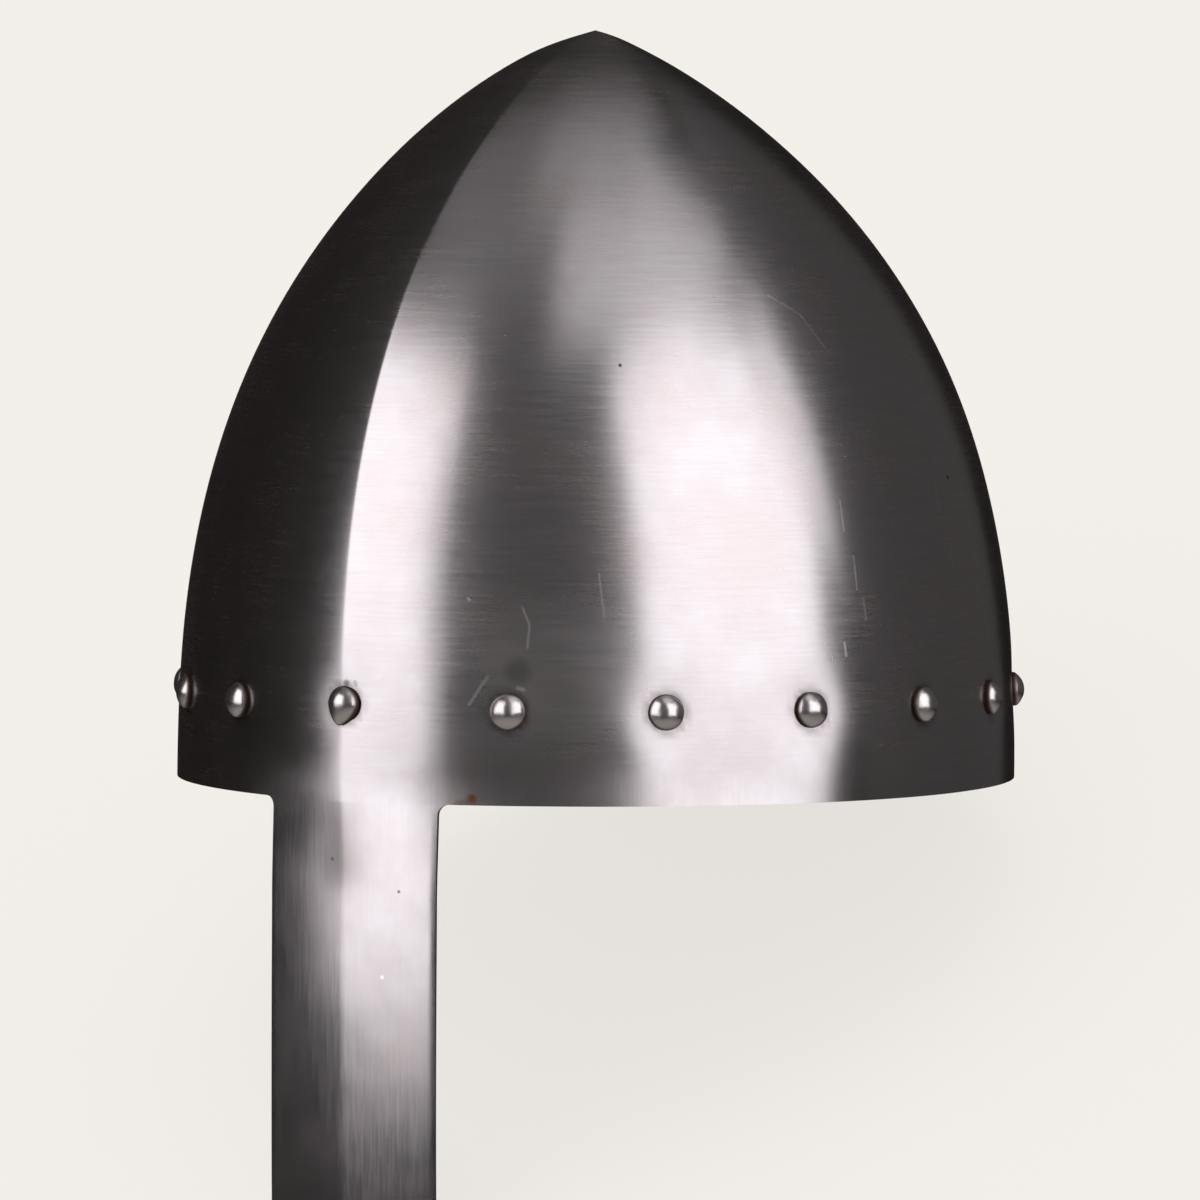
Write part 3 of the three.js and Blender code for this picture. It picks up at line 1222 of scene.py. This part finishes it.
@dataclass
class Rivets:
    """The domed rivets, in millimetres: one is modelled, and each seat gets a hammered copy.

    The one on the ridge is beaten to a drop that hangs down to one side.
    """

    form: SkullForm
    row: RivetRow
    finish: HammeredRivetSteel
    head_radius: float = 4.25
    head_height: float = 2.7
    skirt: float = 0.3
    flatness: float = 2.0
    fullness: float = 0.72
    sunk: float = 0.35  # how far the foot reaches into the dimple
    shank_radius: float = 2.1
    peen_radius: float = 3.5
    peen_height: float = 1.5
    # Shares of the peened end's height, and how much each narrows
    peen_steps: tuple[tuple[float, float], ...] = ((0.5, 0.92), (0.3, 0.75), (0.2, 0.4))
    segments: int = 40
    rings: int = 20
    unevenness: float = 0.22
    blow_spacing: float = 3.4
    blow_lift: float = 0.8
    blow_fade: float = 3.0
    blow_span: float = 50.0  # of the noise that the blows are drawn from
    # Share of the head's radius where the painted shade at the foot begins
    foot_start: float = 0.9
    # The ridge rivet's drop, by how far down its head
    drop_length: float = 0.22
    drop_width: float = 0.94
    drop_taper: float = 0.3
    drop_aside: float = 0.7
    smooth_angle: float = 50.0
    seed: int = 11

    def model(self) -> bpy.types.Object:
        """Models one rivet on its own axis Z, whose zero is the wall's outer surface.

        Returns:
            The rivet: a dome, a shank and a peened end.
        """
        deselect()
        bpy.ops.mesh.primitive_uv_sphere_add(
            segments=self.segments, ring_count=self.rings, radius=self.head_radius * MM
        )
        piece = bpy.context.object
        bpy.ops.object.mode_set(mode="EDIT")
        bpy.ops.mesh.select_all(action="SELECT")
        bpy.ops.mesh.bisect(
            plane_co=(0, 0, 0), plane_no=(0, 0, 1), clear_inner=True, use_fill=True, threshold=NEAR
        )
        bpy.ops.object.mode_set(mode="OBJECT")
        for corner in piece.data.vertices:
            if corner.co.z > NEAR:
                share = min(corner.co.xy.length / (self.head_radius * MM), 1.0)
                crown = (1 - share**self.flatness) ** self.fullness
                corner.co.z = mix(self.skirt, self.head_height, crown) * MM
        pick(piece, lambda co: abs(co.z) < NEAR)
        steps = (
            (-self.sunk, 1.0),
            (0.0, self.shank_radius / self.head_radius),
            (-self.form.wall + self.sunk, 1.0),
            (0.0, self.peen_radius / self.shank_radius),
            *((-self.peen_height * share, narrowing) for share, narrowing in self.peen_steps),
        )
        for drop, scale in steps:
            bpy.ops.mesh.extrude_region_move(TRANSFORM_OT_translate={"value": (0, 0, drop * MM)})
            bpy.ops.transform.resize(value=(scale, scale, 1), center_override=(0, 0, 0))
        bpy.ops.object.mode_set(mode="OBJECT")
        return piece

    def seat(self, stance: Matrix, seat: Seat) -> Matrix:
        """Works out how a rivet stands: X level, Y up the wall and Z out of it.

        Args:
            stance: The move from the upright helmet to the frame.
            seat: The rivet's seat.

        Returns:
            The move from the rivet's own axes to the frame.
        """
        out = self.form.outward(seat.place, seat.height)
        up = (Vector((0, 0, 1)) - out * out.z).normalized()
        level = up.cross(out)
        turn = Matrix((level, up, out)).transposed().to_4x4()
        return stance @ Matrix.Translation(self.form.point(seat.place, seat.height) * MM) @ turn

    def hammer(self, piece: bpy.types.Object, offset: Vector, ridge: bool) -> None:
        """Pushes a copy's dome about and writes the attribute that paints shade on its foot.

        Args:
            piece: The copy, still on its own axes.
            offset: Where in the noise this rivet's blows are read.
            ridge: Whether it's the one on the ridge.
        """
        foot = piece.data.attributes.new("foot", "FLOAT", "POINT")
        for corner in piece.data.vertices:
            here = corner.co / MM
            out = here.xy.length / self.head_radius
            dark = (out - self.foot_start) / (1 - self.foot_start)
            foot.data[corner.index].value = min(max(dark, 0.0), 1.0)
            if here.z > 0:
                held = min(here.z / self.head_height * self.blow_fade, 1)
                push = self.unevenness * noise.noise(here / self.blow_spacing + offset) * held
                way = Vector((here.x, here.y, here.z * self.blow_lift)).normalized()
                corner.co += way * push * MM
                if ridge:
                    low = max(-here.y / self.head_radius, 0.0)
                    corner.co.y *= 1 + self.drop_length * low
                    corner.co.x *= self.drop_width - self.drop_taper * low**2
                    corner.co.x -= self.drop_aside * low**2 * MM

    def build(self, stance: Matrix) -> list[bpy.types.Object]:
        """Builds every rivet in place of its CAD node.

        Args:
            stance: The move from the upright helmet to the frame.

        Returns:
            The finished rivets.
        """
        model = self.model()
        steel = self.finish.material()
        draw = random.Random(self.seed)
        made = []
        for seat in self.row.seats():
            piece = model.copy()
            piece.data = model.data.copy()
            bpy.context.scene.collection.objects.link(piece)
            offset = Vector([draw.uniform(0, self.blow_span) for _ in range(3)])
            ridge = seat.node == RIDGE_RIVET
            self.hammer(piece, offset, ridge)
            spin = Matrix.Rotation(0 if ridge else draw.uniform(0, math.tau), 4, "Z")
            piece.data.transform(self.seat(stance, seat) @ spin)
            piece.name = piece.data.name = "domed_" + seat.node
            piece.data.materials.clear()
            piece.data.materials.append(steel)
            make_active(piece)
            bpy.ops.object.shade_smooth_by_angle(angle=math.radians(self.smooth_angle))
            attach(piece, BODY)
            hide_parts(seat.node)
            made.append(piece)
        bpy.data.objects.remove(model)
        LOG.info("domed rivets: %d", len(made))
        return made


# Studio


@dataclass(frozen=True)
class Viewpoint:
    """Where the camera stands round the upright helmet, in millimetres and degrees."""

    turn: float = 31.405
    distance: float = 1515.2
    height: float = 108.917
    pitch: float = 2.462
    roll: float = 0.426
    yaw_slope: float = 0.001
    lens: float = 181.386
    sensor: float = 36.0
    clip: tuple[float, float] = (0.05, 50.0)  # metres

    def axes(self) -> tuple[Vector, Vector, Vector]:
        """Works out the camera's directions round the upright helmet.

        Returns:
            The level way towards the camera, the level way to its right, and the way it looks.
        """
        turn, pitch = math.radians(self.turn), math.radians(self.pitch)
        towards = Vector((math.sin(turn), -math.cos(turn), 0))
        right = Vector((math.cos(turn), math.sin(turn), 0))
        view = -towards * math.cos(pitch) - Vector((0, 0, math.sin(pitch)))
        return towards, right, view

    def camera(self, stance: Matrix) -> bpy.types.Object:
        """Makes the camera and sets it as the scene's.

        Args:
            stance: The move from the upright helmet to the frame.

        Returns:
            The camera.
        """
        towards, right, view = self.axes()
        view = (view + right * self.yaw_slope).normalized()
        right = view.cross(Vector((0, 0, 1))).normalized()
        up = right.cross(view)
        roll = math.radians(self.roll)
        level = right * math.cos(roll) + up * math.sin(roll)
        tall = up * math.cos(roll) - right * math.sin(roll)
        turned = Matrix((level, tall, -view)).transposed().to_4x4()
        stand = (towards * self.distance + Vector((0, 0, self.height))) * MM
        data = bpy.data.cameras.new("camera")
        data.lens, data.sensor_width = self.lens, self.sensor
        data.clip_start, data.clip_end = self.clip
        camera = placed("camera", data, stance @ Matrix.Translation(stand) @ turned)
        bpy.context.scene.camera = camera
        return camera


def mirrored_light(
    name: str, size: tuple[float, float], radiance: float, where: Matrix
) -> bpy.types.Object:
    """Makes an evenly lit panel that the steel mirrors and nothing else sees.

    Args:
        name: The lamp's name.
        size: Its width and height in metres.
        radiance: How bright it looks.
        where: Its place.

    Returns:
        The lamp.
    """
    data = bpy.data.lights.new(name, "AREA")
    data.shape = "RECTANGLE"
    data.size, data.size_y = size
    data.energy = radiance * math.pi * size[0] * size[1]
    data.color = linear(LIGHT_COLOUR)[:3]
    lamp = placed(name, data, where)
    lamp.visible_camera = lamp.visible_diffuse = False
    return lamp


@dataclass(frozen=True)
class Softbox:
    """A flat light that stands upright to the helmet, by what it covers as the helmet sees it.

    Azimuths are in degrees from the camera's side of the helmet, positive to the camera's
    right, and elevations in degrees above the rim's plane.
    """

    name: str
    azimuth: tuple[float, float]
    elevation: tuple[float, float]
    radiance: float
    roll: float = 0.0
    distance: float = 2.2

    def light(self, view: Viewpoint, stance: Matrix) -> bpy.types.Object:
        """Makes the light, which only the steel mirrors.

        Args:
            view: The camera's side of the helmet.
            stance: The move from the upright helmet to the frame.

        Returns:
            The lamp.
        """
        towards, right, _ = view.axes()
        middle = math.radians(sum(self.azimuth) / 2)
        half = math.radians(self.azimuth[1] - self.azimuth[0]) / 2
        out = towards * math.cos(middle) + right * math.sin(middle)
        across = Vector((0, 0, 1)).cross(out)
        low, high = (self.distance * math.tan(math.radians(e)) for e in self.elevation)
        width, height = 2 * self.distance * math.tan(half), high - low
        place = out * self.distance + Vector((0, 0, (low + high) / 2))
        turned = Matrix((across, Vector((0, 0, 1)), out)).transposed().to_4x4()
        turned @= Matrix.Rotation(math.radians(self.roll), 4, "Z")
        where = stance @ Matrix.Translation(place) @ turned
        return mirrored_light(self.name, (width, height), self.radiance, where)


@dataclass(frozen=True)
class FlatPanel:
    """A flat light level with the rim's plane, in metres from the upright helmet's middle.

    The plan's first number is to the camera's right and its second towards the camera.
    """

    name: str
    plan: tuple[float, float]
    size: tuple[float, float]
    radiance: float
    height: float = 2.2

    def light(self, view: Viewpoint, stance: Matrix) -> bpy.types.Object:
        """Makes the light, which only the steel mirrors.

        Args:
            view: The camera's side of the helmet.
            stance: The move from the upright helmet to the frame.

        Returns:
            The lamp.
        """
        towards, right, _ = view.axes()
        turned = Matrix((right, -towards, Vector((0, 0, 1)))).transposed().to_4x4()
        place = right * self.plan[0] + towards * self.plan[1] + Vector((0, 0, self.height))
        where = stance @ Matrix.Translation(place) @ turned
        return mirrored_light(self.name, self.size, self.radiance, where)


@dataclass
class Studio:
    """A pale floor, soft lights and a room that the steel sees dim. Lengths are in metres."""

    view: Viewpoint
    lights: tuple[Softbox | FlatPanel, ...] = (
        Softbox("right_softbox", (20.0, 69.0), (-7.6, 48.5), 1.9),
        Softbox("right_side_panel", (69.0, 81.0), (16.0, 45.0), 1.4, roll=-6.0),
        Softbox("left_softbox", (-79.5, -26.0), (-7.6, 50.0), 1.95, roll=-3.0),
        Softbox("front_fill", (-26.0, 19.0), (-9.0, 60.0), 0.06),
        Softbox("right_fill", (82.0, 148.0), (-9.0, 60.0), 0.06),
        FlatPanel("ceiling", (-0.12, 0.25), (1.74, 1.9), 0.16),
        FlatPanel("middle_ceiling", (0.15, 0.0), (0.82, 0.78), 0.38),
        FlatPanel("right_ceiling", (0.82, 0.84), (1.6, 1.7), 0.74),
    )
    floor_size: float = 14.0
    floor_colour: str = "#5c5b5a"
    floor_light: str = "#e2dfda"
    floor_roughness: float = 0.9
    overhead_size: float = 3.0
    overhead_height: float = 3.0
    overhead_power: float = 24.0
    room: str = "#140f0d"
    low_room: str = "#a19c98"
    low_span: tuple[float, float] = (0.16, 0.75)
    beyond: str = "#f1eee7"

    def floor(self) -> None:
        """Lays the floor, which the steel doesn't mirror."""
        deselect()
        bpy.ops.mesh.primitive_plane_add(size=self.floor_size)
        piece = bpy.context.object
        piece.name = "floor"
        made = bpy.data.materials.new("pale_paper")
        made.use_nodes = True
        shader = made.node_tree.nodes["Principled BSDF"]
        shader.inputs["Base Color"].default_value = linear(self.floor_colour)
        shader.inputs["Roughness"].default_value = self.floor_roughness
        shader.inputs["Emission Color"].default_value = linear(self.floor_light)
        shader.inputs["Emission Strength"].default_value = 1.0
        piece.data.materials.append(made)
        piece.visible_glossy = False

    def world(self, stance: Matrix) -> None:
        """Makes a room that is pale, but dim where the steel mirrors it, least so from below.

        Args:
            stance: The move from the upright helmet to the frame.
        """
        world = bpy.data.worlds.new("studio")
        bpy.context.scene.world = world
        world.use_nodes = True
        tree = world.node_tree
        tree.nodes.clear()
        way = add_node(tree, "ShaderNodeTexCoord").outputs["Generated"]
        down = add_node(
            tree,
            "ShaderNodeVectorMath",
            {"operation": "DOT_PRODUCT", 1: stance.to_3x3() @ Vector((0, 0, -1))},
            {0: way},
        ).outputs["Value"]
        low = add_node(
            tree,
            "ShaderNodeMapRange",
            {
                "interpolation_type": "SMOOTHSTEP",
                "From Min": self.low_span[0],
                "From Max": self.low_span[1],
            },
            {"Value": down},
        ).outputs["Result"]
        colour = add_node(
            tree,
            "ShaderNodeMix",
            {"data_type": "RGBA", 6: linear(self.room), 7: linear(self.low_room)},
            {0: low},
        ).outputs[2]
        dim = add_node(tree, "ShaderNodeBackground", {}, {"Color": colour})
        pale = add_node(tree, "ShaderNodeBackground", {"Color": linear(self.beyond)})
        mirrored = add_node(tree, "ShaderNodeLightPath").outputs["Is Glossy Ray"]
        both = add_node(
            tree,
            "ShaderNodeMixShader",
            {},
            {0: mirrored, 1: pale.outputs["Background"], 2: dim.outputs["Background"]},
        )
        add_node(tree, "ShaderNodeOutputWorld", {}, {"Surface": both.outputs["Shader"]})

    def overhead(self) -> None:
        """Hangs a wide light over the floor, which the steel doesn't mirror."""
        data = bpy.data.lights.new("overhead", "AREA")
        data.shape, data.size = "SQUARE", self.overhead_size
        data.energy = self.overhead_power
        lamp = placed("overhead", data, Matrix.Translation((0, 0, self.overhead_height)))
        lamp.visible_glossy = lamp.visible_camera = False

    def build(self, stance: Matrix) -> None:
        """Sets up floor, room, lights and camera.

        Args:
            stance: The move from the upright helmet to the frame.
        """
        bpy.context.scene.view_settings.view_transform = "Standard"
        self.floor()
        self.world(stance)
        self.overhead()
        for light in self.lights:
            light.light(self.view, stance)
        self.view.camera(stance)
        LOG.info("studio: %d lights", len(self.lights))


def main() -> None:
    """Builds the helmet and the studio round it."""
    logging.basicConfig(level=logging.INFO, format="%(name)s: %(message)s")
    form = SkullForm()
    row = RivetRow(form)
    stance = Stance(form, frame["record"]).matrix()
    steel = BrushedMildSteel(
        scratches=(
            Scratch((42.7, 46.3), (44.6, 42.3), 0.5, 0.4),
            Scratch((44.6, 42.3), (44.3, 37.1), 0.5, 0.4),
            Scratch((60.0, 54.3), (62.0, 43.9), 0.3, 0.3),
            Scratch((35.3, 30.2), (31.0, 23.6), 0.5, 0.35),
            Scratch((90.7, 119.9), (101.9, 115.4), 0.3, 0.3),
            Scratch((101.9, 115.4), (111.9, 107.5), 0.3, 0.3),
            Scratch((121.3, 71.2), (123.0, 64.0), 0.35, 0.4),
            Scratch((126.5, 58.0), (127.8, 50.0), 0.35, 0.4),
            Scratch((130.0, 48.0), (131.0, 43.0), 0.35, 0.4),
            Scratch((159.7, 75.4), (161.0, 68.0), 0.35, 0.4),
            Scratch((166.4, 61.0), (167.4, 54.0), 0.35, 0.4),
            Scratch((124.3, 37.5), (124.9, 34.5), 0.45, 0.6),
            Scratch((119.8, 36.2), (120.4, 33.8), 0.45, 0.6),
            Scratch((29.7, 48.4), (30.1, 48.0), 0.4, 0.6),
            Scratch((42.4, 27.6), (43.8, 27.2), 0.7, 0.6),
            Scratch((2.9, 28.2), (3.2, 27.6), 0.7, 0.7),
            Scratch((3.4, 25.6), (4.2, 24.4), 0.4, 0.6),
        ),
        stains=(
            Stain((57.1, 103.0), 0.6, PIT),
            Stain((167.6, 76.0), 0.8, PIT),
            Stain((0.6, 27.9), 1.3, PIT, 0.7),
            Stain((42.3, 31.5), 4.5, "#8f8c8e", 0.6),
            Stain((32.0, 1.5), 1.7, RUST, 0.9),
            Stain((30.2, 0.3), 1.8, FAINT_RUST, 0.5),
            Stain((28.6, 0.2), 1.4, FAINT_RUST, 0.4),
            Stain((-3.2, -13.7), 0.6, PIT),
            Stain((14.3, -20.7), 0.6, "#6a6361"),
            Stain((10.3, -41.0), 0.6, "#f5f2f2"),
        ),
    )
    SteelSheet(form, row, steel).build(stance)
    Rivets(form, row, HammeredRivetSteel()).build(stance)
    Studio(Viewpoint()).build(stance)


if __name__ == "__main__":
    main()
